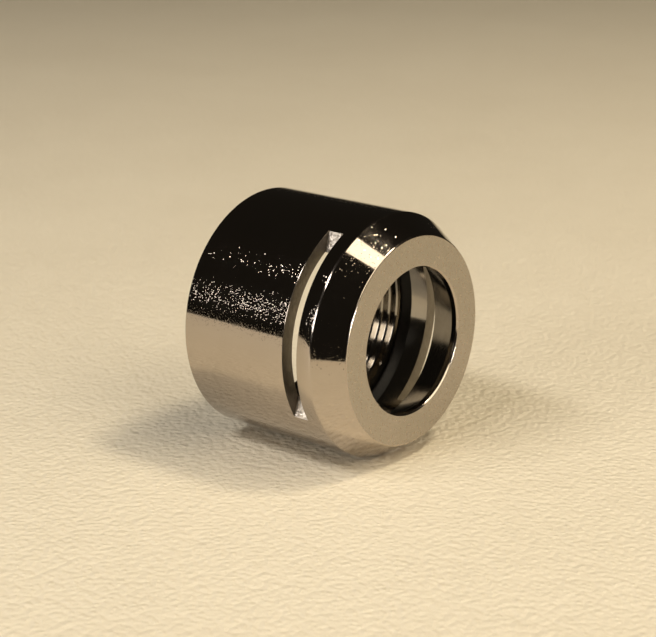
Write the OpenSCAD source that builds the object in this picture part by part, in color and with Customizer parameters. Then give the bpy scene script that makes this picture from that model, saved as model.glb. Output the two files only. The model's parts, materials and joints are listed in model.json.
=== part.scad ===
// Threaded shaft collar: a turned round nut with a conical nose, a conical seat inside its lip
// and two milled side slots.
// The collar's axis is X. The front face looks along +X and the thread opens towards -X.
// The origin is on the axis, half way along the collar. Millimetres throughout.
// "Depth" always means the distance behind the front face.

/* [Outside] */
// Outside diameter
collar_d = 26; // [25.5:0.1:28]
// Overall length along the axis
collar_l = 20; // [18:0.1:24]
// Diameter of the flat front face
face_d = 22.2; // [20:0.1:23]
// Length of the cone between the front face and the outside diameter
nose_l = 3.1; // [2.5:0.1:3.6]
// Bevel that breaks the rear outside edge
edge_break = 0.15; // [0.05:0.05:0.3]

/* [Lip and chamber] */
// Bore through the lip at the front
bore_d = 15.5; // [14:0.1:17]
// Bevel round the front of the bore
mouth_bevel = 0.15; // [0.1:0.05:0.5]
// Depth at which the plain bore ends and the conical seat begins
land_end = 0.75; // [0.6:0.05:1]
// Angle between the conical seat and the axis
seat_angle = 25; // [20:1:28]
// Depth at which the seat ends and the chamber begins
seat_end = 4.1; // [3.6:0.1:4.3]
// Diameter of the plain chamber behind the lip
chamber_d = 22.9; // [22.4:0.1:23.2]
// Depth at which the chamber ends and the ring's groove begins
chamber_end = 8.8; // [8.2:0.1:9.4]

/* [Side slots] */
// Depth of the front wall of both slots
slot_front = 4.85; // [4.4:0.05:5.2]
// Width of each slot along the axis
slot_w = 1.85; // [1.2:0.05:2.2]
// Distance from the axis to the flat floor of each slot
slot_floor = 8.7; // [8.2:0.1:10.5]
// Angle between the slots' centre line and the horizontal
slot_tilt = 17; // [-90:1:90]

/* [Thread] */
// Nominal diameter of the thread
thread_d = 22; // [21.6:0.1:22.2]
// Pitch of the thread
pitch = 1; // [0.75:0.25:1.25]
// Bevel at the rear mouth of the thread
thread_lead = 0.8; // [0.7:0.05:0.9]

/* [Locking ring] */
// Width of the groove that holds the ring, just ahead of the thread
groove_w = 0.95; // [0.8:0.05:1.2]
// Diameter of the groove's floor
groove_d = 23.9; // [23.6:0.1:24.2]
// Smallest diameter of the ring, less than the thread diameter so that it grips the mating thread
ring_bore_d = 21.2; // [21:0.05:21.5]

/* [Hidden] */
$fn = 128;
seat_r = bore_d / 2 + (seat_end - land_end) * tan(seat_angle);
ring_gap = 0.01;                                // clearance round the ring in its groove
thread_start = chamber_end + groove_w;
crest_flat = pitch / 4;                         // ISO basic profile of an internal thread
root_flat = pitch / 8;
flank_l = (pitch - crest_flat - root_flat) / 2;
root_r = thread_d / 2;
crest_r = root_r - 5 / 8 * pitch * sqrt(3) / 2;
lead_start = collar_l - thread_lead;
turns = floor((lead_start - crest_flat - thread_start) / pitch);

// Turns a list of [depth, radius] points about the collar's axis.
module turned(profile) {
    translate([collar_l / 2, 0, 0])
        rotate([0, -90, 0])
            rotate_extrude()
                polygon([for (p = profile) [p[1], p[0]]]);
}

function outside_profile() = [
    [0, face_d / 2],
    [nose_l, collar_d / 2],
    [collar_l - edge_break, collar_d / 2],
    [collar_l, collar_d / 2 - edge_break]
];

// One pitch of the thread, from the end of one crest back to the start of it, for the turn at depth t.
function thread_turn(t) = [
    [t + pitch, crest_r],
    [t + pitch - flank_l, root_r],
    [t + pitch - flank_l - root_flat, root_r],
    [t + crest_flat, crest_r]
];

// From the rear mouth forwards to the front mouth, so that it closes the outside profile.
function inside_profile() = [
    [collar_l, crest_r + thread_lead],
    [lead_start, crest_r],
    for (i = [turns - 1 : -1 : 0]) each thread_turn(thread_start + i * pitch),
    [thread_start, crest_r],
    [thread_start, groove_d / 2],
    [chamber_end, groove_d / 2],
    [chamber_end, chamber_d / 2],
    [seat_end, chamber_d / 2],
    [seat_end, seat_r],
    [land_end, bore_d / 2],
    [mouth_bevel, bore_d / 2],
    [0, bore_d / 2 + mouth_bevel]
];

// Straight cut across the whole collar, as far in as the slot's floor.
module slot_cut() {
    translate([collar_l / 2 - slot_front - slot_w, -collar_d, -collar_d / 2])
        cube([slot_w, collar_d - slot_floor, collar_d]);
}

module collar_body() {
    color([0.78, 0.75, 0.69])
        difference() {
            turned(concat(outside_profile(), inside_profile()));
            for (turn = [0, 180]) rotate([turn - slot_tilt, 0, 0]) slot_cut();
        }
}

// Elastic ring squeezed in past the thread. Its front slopes inwards from the chamber to a rounded nose.
module locking_ring() {
    nose_r = 0.2;
    front = chamber_end + ring_gap;
    back = thread_start - ring_gap;
    outer_r = groove_d / 2 - ring_gap;
    nose_centre = [back - nose_r, ring_bore_d / 2 + nose_r];
    nose = [for (a = [135 : -22.5 : 0]) nose_centre + nose_r * [cos(a), -sin(a)]];
    color([0.1, 0.1, 0.1])
        turned(concat([[front, outer_r], [front, chamber_d / 2]], nose, [[back, outer_r]]));
}

collar_body();
locking_ring();
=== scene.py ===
"""Looks for a threaded shaft collar: nickel-plated turned body, dark elastic ring, pale leather floor.

The collar's axis is X and its front face looks along +X. The CAD box gives the outside diameter and the
length, and the record's mounts give the bore and the thread. "Depth" is the distance behind the front face.
"""

import json
import math

import bmesh
import bpy
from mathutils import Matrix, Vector


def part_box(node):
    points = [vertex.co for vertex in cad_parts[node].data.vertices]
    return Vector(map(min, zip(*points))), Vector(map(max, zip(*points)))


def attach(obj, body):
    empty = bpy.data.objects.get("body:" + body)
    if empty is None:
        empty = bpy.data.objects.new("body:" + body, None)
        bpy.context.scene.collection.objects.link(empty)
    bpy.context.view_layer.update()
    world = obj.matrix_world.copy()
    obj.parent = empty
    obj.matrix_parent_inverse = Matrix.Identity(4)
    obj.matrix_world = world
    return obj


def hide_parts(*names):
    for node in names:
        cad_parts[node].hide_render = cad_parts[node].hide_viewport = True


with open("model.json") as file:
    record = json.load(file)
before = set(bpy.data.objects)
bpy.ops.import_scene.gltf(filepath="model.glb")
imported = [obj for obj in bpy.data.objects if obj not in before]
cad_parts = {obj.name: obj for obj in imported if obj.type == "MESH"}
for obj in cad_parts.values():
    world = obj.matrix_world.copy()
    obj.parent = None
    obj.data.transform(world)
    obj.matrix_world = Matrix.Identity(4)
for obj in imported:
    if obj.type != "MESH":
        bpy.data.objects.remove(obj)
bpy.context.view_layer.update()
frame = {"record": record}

# ---------------------------------------------------------------- sizes, in metres

MM = 0.001
MOUNTS = {m["name"]: m for m in frame["record"]["mounts"]}
BODY_LOW, BODY_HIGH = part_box("collar_body")
RING_LOW, RING_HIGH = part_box("locking_ring")

FRONT_X = BODY_HIGH.x
LENGTH = BODY_HIGH.x - BODY_LOW.x
OUTER_R = BODY_HIGH.z
BORE_R = MOUNTS["bore"]["dims"]["r_mm"] * MM
CREST_R = MOUNTS["thread"]["dims"]["r_mm"] * MM
GROOVE_R = RING_HIGH.z
GROOVE_FRONT = FRONT_X - RING_HIGH.x
GROOVE_BACK = FRONT_X - RING_LOW.x

FACE_R = 11.1 * MM
NOSE_L = 3.1 * MM
NOSE_NORMAL_X = (OUTER_R - FACE_R) / math.hypot(OUTER_R - FACE_R, NOSE_L)
MOUTH_BEVEL = 0.15 * MM
LAND_END = 0.75 * MM
CONE_ANGLE = math.radians(25)
CONE_END = 4.1 * MM
CONE_R = BORE_R + (CONE_END - LAND_END) * math.tan(CONE_ANGLE)
CHAMBER_R = 11.45 * MM
SLOT_FRONT = 4.85 * MM
SLOT_W = 1.85 * MM
SLOT_FLOOR = 8.7 * MM
SLOT_TILT = math.radians(17)
SLOT_BREAK = 0.05 * MM
PITCH = 1.0 * MM
THREAD_LEAD = 0.8 * MM
RING_BORE_R = 10.6 * MM

SEGMENTS = 320
FILLET_STEPS = 4
MERGE = 1e-7
NEAR = 0.002 * MM


# ---------------------------------------------------------------- turned shapes

def fillet(before, corner, after, size):
    """Points that round a corner of a profile. size is how far back along each side the round begins."""
    if size == 0:
        return [corner]
    c = Vector(corner)
    start = c + (Vector(before) - c).normalized() * size
    end = c + (Vector(after) - c).normalized() * size
    points = []
    for i in range(FILLET_STEPS + 1):
        t = i / FILLET_STEPS
        points.append(tuple((1 - t) ** 2 * start + 2 * t * (1 - t) * c + t ** 2 * end))
    return points


def rounded(profile):
    """For each (depth, radius, fillet size) corner of a closed profile, the points that round it."""
    stretches = []
    for i, (depth, radius, size) in enumerate(profile):
        before = profile[i - 1][:2]
        after = profile[(i + 1) % len(profile)][:2]
        stretches.append(fillet(before, (depth, radius), after, size))
    return stretches


def all_rows(mesh, stretches):
    return [plain_row(mesh, *point) for stretch in stretches for point in stretch]


def on_axis(depth, radius, turn):
    """A point at a depth, a radius and a share of a full turn, in the row frame."""
    angle = 2 * math.pi * turn
    return (FRONT_X - depth, radius * math.sin(angle), radius * math.cos(angle))


def plain_row(mesh, depth, radius):
    return [mesh.verts.new(on_axis(depth, radius, j / SEGMENTS)) for j in range(SEGMENTS)]


def join_rows(mesh, row, next_row):
    for j in range(SEGMENTS):
        k = (j + 1) % SEGMENTS
        mesh.faces.new((row[j], row[k], next_row[k], next_row[j]))


def finished(mesh, name):
    """Closes up a bmesh, points its normals outwards and links it as an object."""
    bmesh.ops.remove_doubles(mesh, verts=mesh.verts, dist=MERGE)
    bmesh.ops.dissolve_degenerate(mesh, edges=mesh.edges, dist=MERGE)
    bmesh.ops.recalc_face_normals(mesh, faces=mesh.faces)
    data = bpy.data.meshes.new(name)
    mesh.to_mesh(data)
    mesh.free()
    piece = bpy.data.objects.new(name, data)
    bpy.context.scene.collection.objects.link(piece)
    return piece


# ---------------------------------------------------------------- thread

THREAD_START = GROOVE_BACK
LEAD_START = LENGTH - THREAD_LEAD
CREST_FLAT = PITCH / 4
ROOT_FLAT = PITCH / 8
FLANK = (PITCH - CREST_FLAT - ROOT_FLAT) / 2
THREAD_H = 5 / 8 * PITCH * math.sqrt(3) / 2
THREAD_END = LEAD_START + THREAD_H + 0.02 * MM


def thread_phases():
    """Places within one pitch where the thread's surface gets a row, with its corners among them."""
    corners = [0, CREST_FLAT, CREST_FLAT + FLANK, CREST_FLAT + FLANK + ROOT_FLAT, PITCH]
    steps = [3, 5, 3, 5]
    phases = []
    for start, end, count in zip(corners, corners[1:], steps):
        phases += [start + (end - start) * i / count for i in range(count)]
    return phases


def thread_radius(depth, turn):
    """Radius of the internal thread, opened out by the lead-in bevel near the rear."""
    phase = (depth - THREAD_START - PITCH * turn) % PITCH
    rise = min(max((phase - CREST_FLAT) / FLANK, 0), 1)
    fall = min(max((PITCH - phase) / FLANK, 0), 1)
    groove = CREST_R + THREAD_H * min(rise, fall)
    bevel = CREST_R + depth - LEAD_START
    return max(groove, bevel)


def thread_rows(mesh):
    """Rows that follow the helix, clamped to the thread's two ends.

    Returns the rows and how many of them make one turn.
    """
    phases = thread_phases()
    turns = math.ceil((THREAD_END - THREAD_START) / PITCH) + 1
    rows = []
    for i in range(turns * len(phases) + 1):
        along = (i // len(phases) - 1) * PITCH + phases[i % len(phases)]
        row = []
        for j in range(SEGMENTS):
            turn = j / SEGMENTS
            depth = THREAD_START + along + PITCH * turn
            depth = min(max(depth, THREAD_START), THREAD_END)
            row.append(mesh.verts.new(on_axis(depth, thread_radius(depth, turn), turn)))
        rows.append(row)
    return rows, len(phases)


def join_thread(mesh, rows, rows_per_turn):
    """Joins helical rows. After a full turn each row carries on as the row one pitch further back."""
    last = len(rows) - 1
    for i in range(last):
        near_wrap = rows[min(i + rows_per_turn, last)][0]
        far_wrap = rows[min(i + 1 + rows_per_turn, last)][0]
        for j in range(SEGMENTS):
            at_wrap = j == SEGMENTS - 1
            near = near_wrap if at_wrap else rows[i][j + 1]
            far = far_wrap if at_wrap else rows[i + 1][j + 1]
            corners = (rows[i][j], near, far, rows[i + 1][j])
            if len(set(corners)) == 4:
                mesh.faces.new(corners)


# ---------------------------------------------------------------- collar body

def body_blank():
    """The turned body before its slots are milled."""
    edge = 0.12 * MM
    fine = 0.04 * MM
    inside = [
        (0, BORE_R + MOUTH_BEVEL, fine),
        (MOUTH_BEVEL, BORE_R, fine),
        (LAND_END, BORE_R, fine),
        (CONE_END, CONE_R, fine),
        (CONE_END, CHAMBER_R, 0),
        (GROOVE_FRONT, CHAMBER_R, 0),
        (GROOVE_FRONT, GROOVE_R, 0),
        (GROOVE_BACK, GROOVE_R, 0),
    ]
    outside = [
        (LENGTH, CREST_R + THREAD_LEAD, fine),
        (LENGTH, OUTER_R, edge),
        (NOSE_L, OUTER_R, edge),
        (0, FACE_R, edge),
    ]
    stretches = rounded(inside + outside)
    mesh = bmesh.new()
    front = all_rows(mesh, stretches[:len(inside)])
    thread, rows_per_turn = thread_rows(mesh)
    back = all_rows(mesh, stretches[len(inside):])
    for row, next_row in zip(front, front[1:]):
        join_rows(mesh, row, next_row)
    join_rows(mesh, front[-1], thread[0])
    join_thread(mesh, thread, rows_per_turn)
    join_rows(mesh, thread[-1], back[0])
    for row, next_row in zip(back, back[1:]):
        join_rows(mesh, row, next_row)
    join_rows(mesh, back[-1], front[0])
    return finished(mesh, "collar_body_look")


def slot_direction(side):
    """Unit vector from the axis to a slot's middle. side is 1 for the near slot, -1 for the far one."""
    return Vector((0, -math.cos(SLOT_TILT), math.sin(SLOT_TILT))) * side


def slot_cutter(side):
    """Block that is taken out of the body by one straight cut."""
    out = slot_direction(side)
    across = out.cross(Vector((1, 0, 0)))
    front = FRONT_X - SLOT_FRONT
    mesh = bmesh.new()
    bmesh.ops.create_cube(mesh, size=1)
    for v in mesh.verts:
        x = front - SLOT_W * (0.5 - v.co.x)
        reach = SLOT_FLOOR + OUTER_R * (v.co.y + 0.5)
        v.co = Vector((x, 0, 0)) + out * reach + across * (v.co.z * 3 * OUTER_R)
    return finished(mesh, "slot_cutter")


def mill_slots(piece):
    for side in (1, -1):
        cutter = slot_cutter(side)
        cut = piece.modifiers.new("slot", "BOOLEAN")
        cut.operation = "DIFFERENCE"
        cut.solver = "EXACT"
        cut.object = cutter
        graph = bpy.context.evaluated_depsgraph_get()
        data = bpy.data.meshes.new_from_object(piece.evaluated_get(graph))
        piece.modifiers.clear()
        piece.data = data
        bpy.data.objects.remove(cutter)
    return piece


ZONES = ["cylinder", "nose", "edge", "face", "slot", "slot_floor", "seat", "inside"]


def zone_of(centre, normal):
    """Which machined surface a face of the body belongs to."""
    depth = FRONT_X - centre.x
    radius = math.hypot(centre.y, centre.z)
    outward = (normal.y * centre.y + normal.z * centre.z) / radius
    reach = max(centre.dot(slot_direction(1)), centre.dot(slot_direction(-1)))
    on_wall = min(abs(depth - SLOT_FRONT), abs(depth - SLOT_FRONT - SLOT_W)) < NEAR
    in_slot = SLOT_FRONT < depth < SLOT_FRONT + SLOT_W
    if on_wall and reach > SLOT_FLOOR - NEAR:
        return "slot"
    if in_slot and abs(reach - SLOT_FLOOR) < NEAR:
        return "slot_floor"
    if min(depth, LENGTH - depth) < NEAR and abs(normal.x) > 0.99:
        return "face"
    if outward < 0 and MOUTH_BEVEL < depth < CONE_END - NEAR:
        return "seat"
    if outward > 0.999:
        return "cylinder"
    if outward > 0.1 and abs(normal.x - NOSE_NORMAL_X) < 0.01:
        return "nose"
    if outward > 0.1 or depth < MOUTH_BEVEL:
        return "edge"
    return "inside"


BROKEN_EDGES = [{"slot", "cylinder"}, {"slot_floor", "cylinder"}]


def break_slot_edges(piece):
    """Small round on the edges that the cutter leaves in the outside of the body."""
    mesh = bmesh.new()
    mesh.from_mesh(piece.data)
    mesh.normal_update()
    zones = {face: zone_of(face.calc_center_median(), face.normal) for face in mesh.faces}
    edges = [e for e in mesh.edges if {zones[face] for face in e.link_faces} in BROKEN_EDGES]
    bmesh.ops.bevel(mesh, geom=edges, offset=SLOT_BREAK, segments=2, profile=0.5,
                    affect="EDGES", clamp_overlap=True)
    bmesh.ops.remove_doubles(mesh, verts=mesh.verts, dist=MERGE)
    mesh.to_mesh(piece.data)
    mesh.free()
    return piece


def paint_zones(piece, finishes):
    for zone in ZONES:
        piece.data.materials.append(finishes[zone]())
    for face in piece.data.polygons:
        face.material_index = ZONES.index(zone_of(face.center, face.normal))
        face.use_smooth = True


def smooth_with_weights(piece, angle):
    """Smooth shading that keeps large faces true and lets only the small rounds bend the light."""
    piece.data.set_sharp_from_angle(angle=math.radians(angle))
    weights = piece.modifiers.new("weights", "WEIGHTED_NORMAL")
    weights.keep_sharp = True
    weights.weight = 80


# ---------------------------------------------------------------- locking ring

def ring_look():
    """Elastic ring whose front slopes inwards from the chamber to a rounded nose."""
    nose = 0.4 * MM
    small = 0.05 * MM
    stretches = rounded([
        (GROOVE_FRONT, GROOVE_R, small),
        (GROOVE_FRONT, CHAMBER_R, small),
        (GROOVE_BACK, RING_BORE_R - 0.1 * MM, nose),
        (GROOVE_BACK, GROOVE_R, small),
    ])
    mesh = bmesh.new()
    rows = all_rows(mesh, stretches)
    for row, next_row in zip(rows, rows[1:] + rows[:1]):
        join_rows(mesh, row, next_row)
    return finished(mesh, "locking_ring_look")


# ---------------------------------------------------------------- materials

class Nodes:
    """A new node material, with short ways to add and link nodes."""

    def __init__(self, name):
        self.material = bpy.data.materials.new(name)
        self.material.use_nodes = True
        self.tree = self.material.node_tree
        self.shader = self.tree.nodes["Principled BSDF"]
        self.place = self.add("ShaderNodeTexCoord").outputs["Object"]

    def add(self, kind, **settings):
        node = self.tree.nodes.new(kind)
        for name, value in settings.items():
            setattr(node, name, value)
        return node

    def link(self, output, node, socket):
        self.tree.links.new(output, node.inputs[socket])

    def noise(self, per_mm, detail=2, stretch=(1, 1, 1)):
        """Noise whose grains are about 1 / per_mm millimetres wide."""
        scale = self.add("ShaderNodeVectorMath", operation="MULTIPLY")
        self.link(self.place, scale, 0)
        scale.inputs[1].default_value = [per_mm * s / MM for s in stretch]
        node = self.add("ShaderNodeTexNoise")
        node.inputs["Scale"].default_value = 1
        node.inputs["Detail"].default_value = detail
        self.link(scale.outputs[0], node, "Vector")
        return node.outputs["Fac"]

    def facets(self, per_mm, share, tilt, across=1):
        """Surface normals where a random share of small cells hold a flat facet, each tilted its own way.

        Cells are 1 / per_mm millimetres wide. Most facets lean a little. tilt is the steepest slope along
        the collar's axis, and tilt times across is the steepest slope across it.
        """
        cells = self.add("ShaderNodeTexVoronoi")
        cells.inputs["Scale"].default_value = per_mm / MM
        self.link(self.place, cells, "Vector")
        chance = self.add("ShaderNodeTexWhiteNoise")
        self.link(cells.outputs["Position"], chance, "Vector")
        chosen = self.add("ShaderNodeMath", operation="LESS_THAN")
        self.link(chance.outputs["Value"], chosen, 0)
        chosen.inputs[1].default_value = share
        direction = self.add("ShaderNodeTexWhiteNoise", noise_dimensions="4D")
        self.link(cells.outputs["Position"], direction, "Vector")
        direction.inputs["W"].default_value = 1
        lean = self.add("ShaderNodeVectorMath", operation="SUBTRACT")
        self.link(direction.outputs["Color"], lean, 0)
        lean.inputs[1].default_value = (0.5, 0.5, 0.5)
        amount = self.add("ShaderNodeMath", operation="MULTIPLY")
        self.link(chosen.outputs[0], amount, 0)
        self.link(self.remap(chance.outputs["Value"], 0, share, 0, 2 * tilt), amount, 1)
        scaled = self.add("ShaderNodeVectorMath", operation="SCALE")
        self.link(lean.outputs[0], scaled, 0)
        self.link(amount.outputs[0], scaled, "Scale")
        squeezed = self.add("ShaderNodeVectorMath", operation="MULTIPLY")
        self.link(scaled.outputs[0], squeezed, 0)
        squeezed.inputs[1].default_value = (1, across, across)
        surface = self.add("ShaderNodeNewGeometry")
        leaning = self.add("ShaderNodeVectorMath", operation="ADD")
        self.link(surface.outputs["Normal"], leaning, 0)
        self.link(squeezed.outputs[0], leaning, 1)
        unit = self.add("ShaderNodeVectorMath", operation="NORMALIZE")
        self.link(leaning.outputs[0], unit, 0)
        return unit.outputs[0]

    def remap(self, value, low, high, to_low, to_high):
        node = self.add("ShaderNodeMapRange")
        self.link(value, node, "Value")
        node.inputs["From Min"].default_value = low
        node.inputs["From Max"].default_value = high
        node.inputs["To Min"].default_value = to_low
        node.inputs["To Max"].default_value = to_high
        return node.outputs["Result"]

    def mix(self, value, first, second):
        node = self.add("ShaderNodeMix", data_type="RGBA")
        self.link(value, node, "Factor")
        node.inputs[6].default_value = (*first, 1)
        node.inputs[7].default_value = (*second, 1)
        return node.outputs[2]

    def bump(self, height, depth_mm, after=None):
        node = self.add("ShaderNodeBump")
        node.inputs["Strength"].default_value = 1
        node.inputs["Distance"].default_value = depth_mm * MM
        self.link(height, node, "Height")
        if after is not None:
            self.link(after, node, "Normal")
        return node.outputs["Normal"]

    def finish(self, color, roughness, normal, metallic=1.0):
        self.link(color, self.shader, "Base Color")
        self.link(roughness, self.shader, "Roughness")
        self.link(normal, self.shader, "Normal")
        self.shader.inputs["Metallic"].default_value = metallic
        return self.material


NICKEL = (0.50, 0.44, 0.385)
NICKEL_WORN = (0.46, 0.405, 0.35)
# SHADED and SHADED_WORN are darker nickel tones. In the bore they are painted shade; on the flat faces
# SHADED is one of two tones that vary at random.
SHADED = (0.40, 0.365, 0.31)
SHADED_WORN = (0.31, 0.28, 0.24)
MILLED = (0.27, 0.245, 0.205)
MILLED_WORN = (0.17, 0.15, 0.125)
# Dark tone for the seat inside the lip: painted shade.
GROUND_SHADED = (0.27, 0.25, 0.22)
TORN = (0.80, 0.74, 0.65)
ELASTOMER = (0.01, 0.009, 0.009)
ELASTOMER_DUSTY = (0.024, 0.021, 0.02)
LEATHER = (0.80, 0.727, 0.573)
LEATHER_DARKER = (0.74, 0.664, 0.515)


def polished_nickel():
    """Bright plate on the rounded edges, a little blurred."""
    n = Nodes("polished_nickel")
    tone = n.mix(n.noise(0.25, 4), NICKEL, NICKEL_WORN)
    roughness = n.remap(n.noise(0.8, 5), 0.3, 0.7, 0.1, 0.16)
    return n.finish(tone, roughness, n.bump(n.noise(1.5, 3), 0.0006))


def turned_nickel():
    """Bright plate on the conical nose, smoother than the cylinder."""
    n = Nodes("turned_nickel")
    tone = n.mix(n.noise(0.25, 4), NICKEL, NICKEL_WORN)
    roughness = n.remap(n.noise(0.8, 5), 0.3, 0.7, 0.05, 0.09)
    return n.finish(tone, roughness, n.facets(per_mm=14, share=0.08, tilt=0.15))


def grained_nickel():
    """Bright plate on the cylinder. Turning left a fine grain that leans along the axis and sparkles."""
    n = Nodes("grained_nickel")
    tone = n.mix(n.noise(0.25, 4), NICKEL, NICKEL_WORN)
    roughness = n.remap(n.noise(0.8, 5), 0.3, 0.7, 0.04, 0.08)
    return n.finish(tone, roughness, n.facets(per_mm=20, share=0.3, tilt=0.21, across=0.3))


def faced_nickel():
    """Flat faces: fine grain that blurs what it reflects."""
    n = Nodes("faced_nickel")
    tone = n.mix(n.noise(0.35, 4), NICKEL_WORN, SHADED)
    roughness = n.remap(n.noise(2.5, 4), 0.3, 0.7, 0.24, 0.36)
    return n.finish(tone, roughness, n.bump(n.noise(8, 3), 0.02))


def milled_nickel():
    """Slot walls: dull, with coarse cutter marks."""
    n = Nodes("milled_nickel")
    tone = n.mix(n.noise(0.8, 4), MILLED, MILLED_WORN)
    roughness = n.remap(n.noise(3, 4), 0.3, 0.7, 0.32, 0.5)
    torn = n.facets(per_mm=5, share=0.5, tilt=0.12)
    return n.finish(tone, roughness, n.bump(n.noise(4, 3, stretch=(2.5, 1, 0.5)), 0.04, after=torn))


def sparkling_nickel():
    """Slot floors: bright facets where the cutter tore the surface before it was plated."""
    n = Nodes("sparkling_nickel")
    tone = n.mix(n.noise(1, 4), TORN, NICKEL)
    roughness = n.remap(n.noise(4, 4), 0.3, 0.7, 0.36, 0.5)
    return n.finish(tone, roughness, n.facets(per_mm=8, share=0.9, tilt=0.4))


def ground_nickel():
    """Conical seat inside the lip: finely ground, so it mirrors with a soft edge, and given a dark tone as
    painted shade.
    """
    n = Nodes("ground_nickel")
    # Painted shade: the seat inside the lip gets a dark tone that varies at random.
    tone = n.mix(n.noise(0.5, 4), GROUND_SHADED, MILLED_WORN)
    roughness = n.remap(n.noise(2, 4), 0.3, 0.7, 0.12, 0.18)
    return n.finish(tone, roughness, n.bump(n.noise(1, 3, stretch=(9, 1, 1)), 0.0006))


def bored_nickel():
    """Chamber and thread: a darker nickel tone, painted shade for the inside of the bore, with fine marks
    left by the boring tool.
    """
    n = Nodes("bored_nickel")
    # Painted shade: the whole chamber and thread take the darker tones.
    tone = n.mix(n.noise(0.4, 4), SHADED, SHADED_WORN)
    roughness = n.remap(n.noise(1.5, 4), 0.3, 0.7, 0.07, 0.13)
    rings = n.noise(1, 2, stretch=(12, 0.2, 0.2))
    return n.finish(tone, roughness, n.bump(rings, 0.001))


def elastic():
    """Dark satin elastomer with a slight grain."""
    n = Nodes("elastic")
    tone = n.mix(n.noise(1.2, 4), ELASTOMER, ELASTOMER_DUSTY)
    roughness = n.remap(n.noise(4, 3), 0.3, 0.7, 0.3, 0.42)
    n.shader.inputs["Specular IOR Level"].default_value = 0.2
    return n.finish(tone, roughness, n.bump(n.noise(6, 3), 0.008), metallic=0.0)


def pale_leather():
    """Floor: cream leather with small rounded pebbles between fine creases, and a faint waviness."""
    n = Nodes("pale_leather")
    tone = n.mix(n.noise(0.04, 3), LEATHER, LEATHER_DARKER)
    roughness = n.remap(n.noise(0.5, 3), 0.3, 0.7, 0.5, 0.65)
    cells = n.add("ShaderNodeTexVoronoi", feature="SMOOTH_F1")
    cells.inputs["Scale"].default_value = 1.5 / MM
    n.link(n.place, cells, "Vector")
    pebbles = n.bump(cells.outputs["Distance"], -0.2)
    creases = n.bump(n.noise(2.2, 3), 0.1, after=pebbles)
    return n.finish(tone, roughness, n.bump(n.noise(0.35, 2), 0.12, after=creases), metallic=0.0)


# ---------------------------------------------------------------- stage, light and camera

FLOOR_Z = BODY_LOW.z
CAMERA_AZIMUTH = math.radians(39.3)
CAMERA_ELEVATION = math.radians(17.5)
CAMERA_DISTANCE = 15.24
AIM_UP = 0.033
AIM_LEFT = 0.082
SENSOR_MM = 36
LENS_MM = 102.4
SHARP_IN_FRONT = 0.6
TO_CAMERA = Vector((math.sin(CAMERA_AZIMUTH), -math.cos(CAMERA_AZIMUTH), 0))
MIRRORED_REACH = 5.5 * OUTER_R
FLOOR_REACH = 120 * OUTER_R


def floor_strip(name, finish, near, far):
    """Part of the floor between two distances towards the camera, as wide as the floor reaches."""
    across = Vector((-TO_CAMERA.y, TO_CAMERA.x, 0)) * FLOOR_REACH
    down = Vector((0, 0, FLOOR_Z))
    edges = [TO_CAMERA * near + down, TO_CAMERA * far + down]
    data = bpy.data.meshes.new(name)
    corners = [edges[0] - across, edges[1] - across, edges[1] + across, edges[0] + across]
    data.from_pydata(corners, [], [(0, 1, 2, 3)])
    data.materials.append(finish)
    piece = bpy.data.objects.new(name, data)
    bpy.context.scene.collection.objects.link(piece)
    return piece


def floor():
    """Pale floor in two strips. The one nearest the camera is left out of the collar's reflections."""
    finish = pale_leather()
    floor_strip("floor", finish, -FLOOR_REACH, MIRRORED_REACH)
    front = floor_strip("floor_front", finish, MIRRORED_REACH, FLOOR_REACH)
    front.visible_glossy = False


WARM = (1, 0.87, 0.66)
COOL = (1, 0.95, 0.9)


def softbox(name, azimuth, elevation, distance, width, height, watts, color):
    """Rectangular light that faces the collar. Azimuth follows the camera's convention."""
    a, e = math.radians(azimuth), math.radians(elevation)
    towards = Vector((math.sin(a) * math.cos(e), -math.cos(a) * math.cos(e), math.sin(e)))
    data = bpy.data.lights.new(name, "AREA")
    data.shape = "RECTANGLE"
    data.size = width * OUTER_R
    data.size_y = height * OUTER_R
    data.energy = watts
    data.color = color
    light = bpy.data.objects.new(name, data)
    light.location = towards * distance * OUTER_R
    light.rotation_euler = towards.to_track_quat("Z", "Y").to_euler()
    bpy.context.scene.collection.objects.link(light)


def dark_room():
    """Unlit surroundings, apart from a faint warm glow."""
    world = bpy.data.worlds.new("dark_room")
    bpy.context.scene.world = world
    world.use_nodes = True
    background = world.node_tree.nodes["Background"]
    background.inputs["Color"].default_value = (1.0, 0.86, 0.66, 1)
    background.inputs["Strength"].default_value = 0.014


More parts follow.
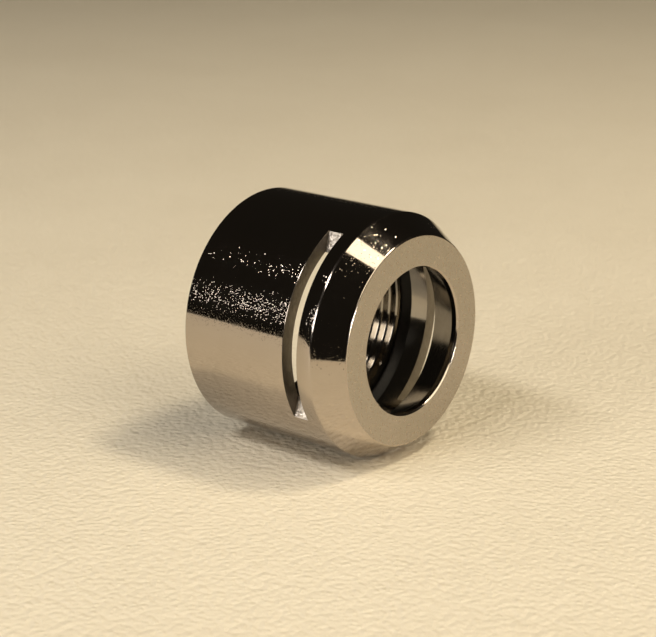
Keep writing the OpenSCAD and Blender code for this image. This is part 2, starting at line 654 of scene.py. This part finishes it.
def camera():
    """Long lens from the front left, a little above the collar."""
    towards = TO_CAMERA * math.cos(CAMERA_ELEVATION) + Vector((0, 0, math.sin(CAMERA_ELEVATION)))
    turn = towards.to_track_quat("Z", "Y")
    right = turn @ Vector((1, 0, 0))
    up = turn @ Vector((0, 1, 0))
    aim = (up * AIM_UP - right * AIM_LEFT) * OUTER_R
    data = bpy.data.cameras.new("camera")
    data.sensor_width = SENSOR_MM
    data.lens = LENS_MM
    data.clip_start = 0.01
    data.dof.use_dof = True
    data.dof.focus_distance = (CAMERA_DISTANCE - SHARP_IN_FRONT) * OUTER_R
    data.dof.aperture_fstop = 80
    eye = bpy.data.objects.new("camera", data)
    eye.location = aim + towards * CAMERA_DISTANCE * OUTER_R
    eye.rotation_euler = turn.to_euler()
    bpy.context.scene.collection.objects.link(eye)
    bpy.context.scene.camera = eye


# ---------------------------------------------------------------- build

body = break_slot_edges(mill_slots(body_blank()))
body.data.materials.clear()
paint_zones(body, {
    "cylinder": grained_nickel,
    "nose": turned_nickel,
    "edge": polished_nickel,
    "face": faced_nickel,
    "slot": milled_nickel,
    "slot_floor": sparkling_nickel,
    "seat": ground_nickel,
    "inside": bored_nickel,
})
smooth_with_weights(body, 32)
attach(body, "root")
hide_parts("collar_body")

ring = ring_look()
ring.data.materials.append(elastic())
for polygon in ring.data.polygons:
    polygon.use_smooth = True
smooth_with_weights(ring, 40)
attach(ring, "root")
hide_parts("locking_ring")

floor()
dark_room()
softbox("key_high", azimuth=95, elevation=69, distance=40, width=11, height=13, watts=0.24, color=WARM)
softbox("key", azimuth=92, elevation=41, distance=40, width=40, height=21, watts=1.2, color=WARM)
softbox("back_key", azimuth=131, elevation=63, distance=40, width=8, height=6, watts=1.1, color=WARM)
softbox("high_fill", azimuth=-13, elevation=53, distance=46, width=27, height=7, watts=1.55, color=COOL)
softbox("low_fill", azimuth=-16, elevation=19, distance=40, width=20, height=11, watts=0.9, color=COOL)
softbox("front", azimuth=90, elevation=2, distance=40, width=8, height=5, watts=1.1, color=COOL)
bpy.context.scene.view_settings.view_transform = "Standard"
camera()
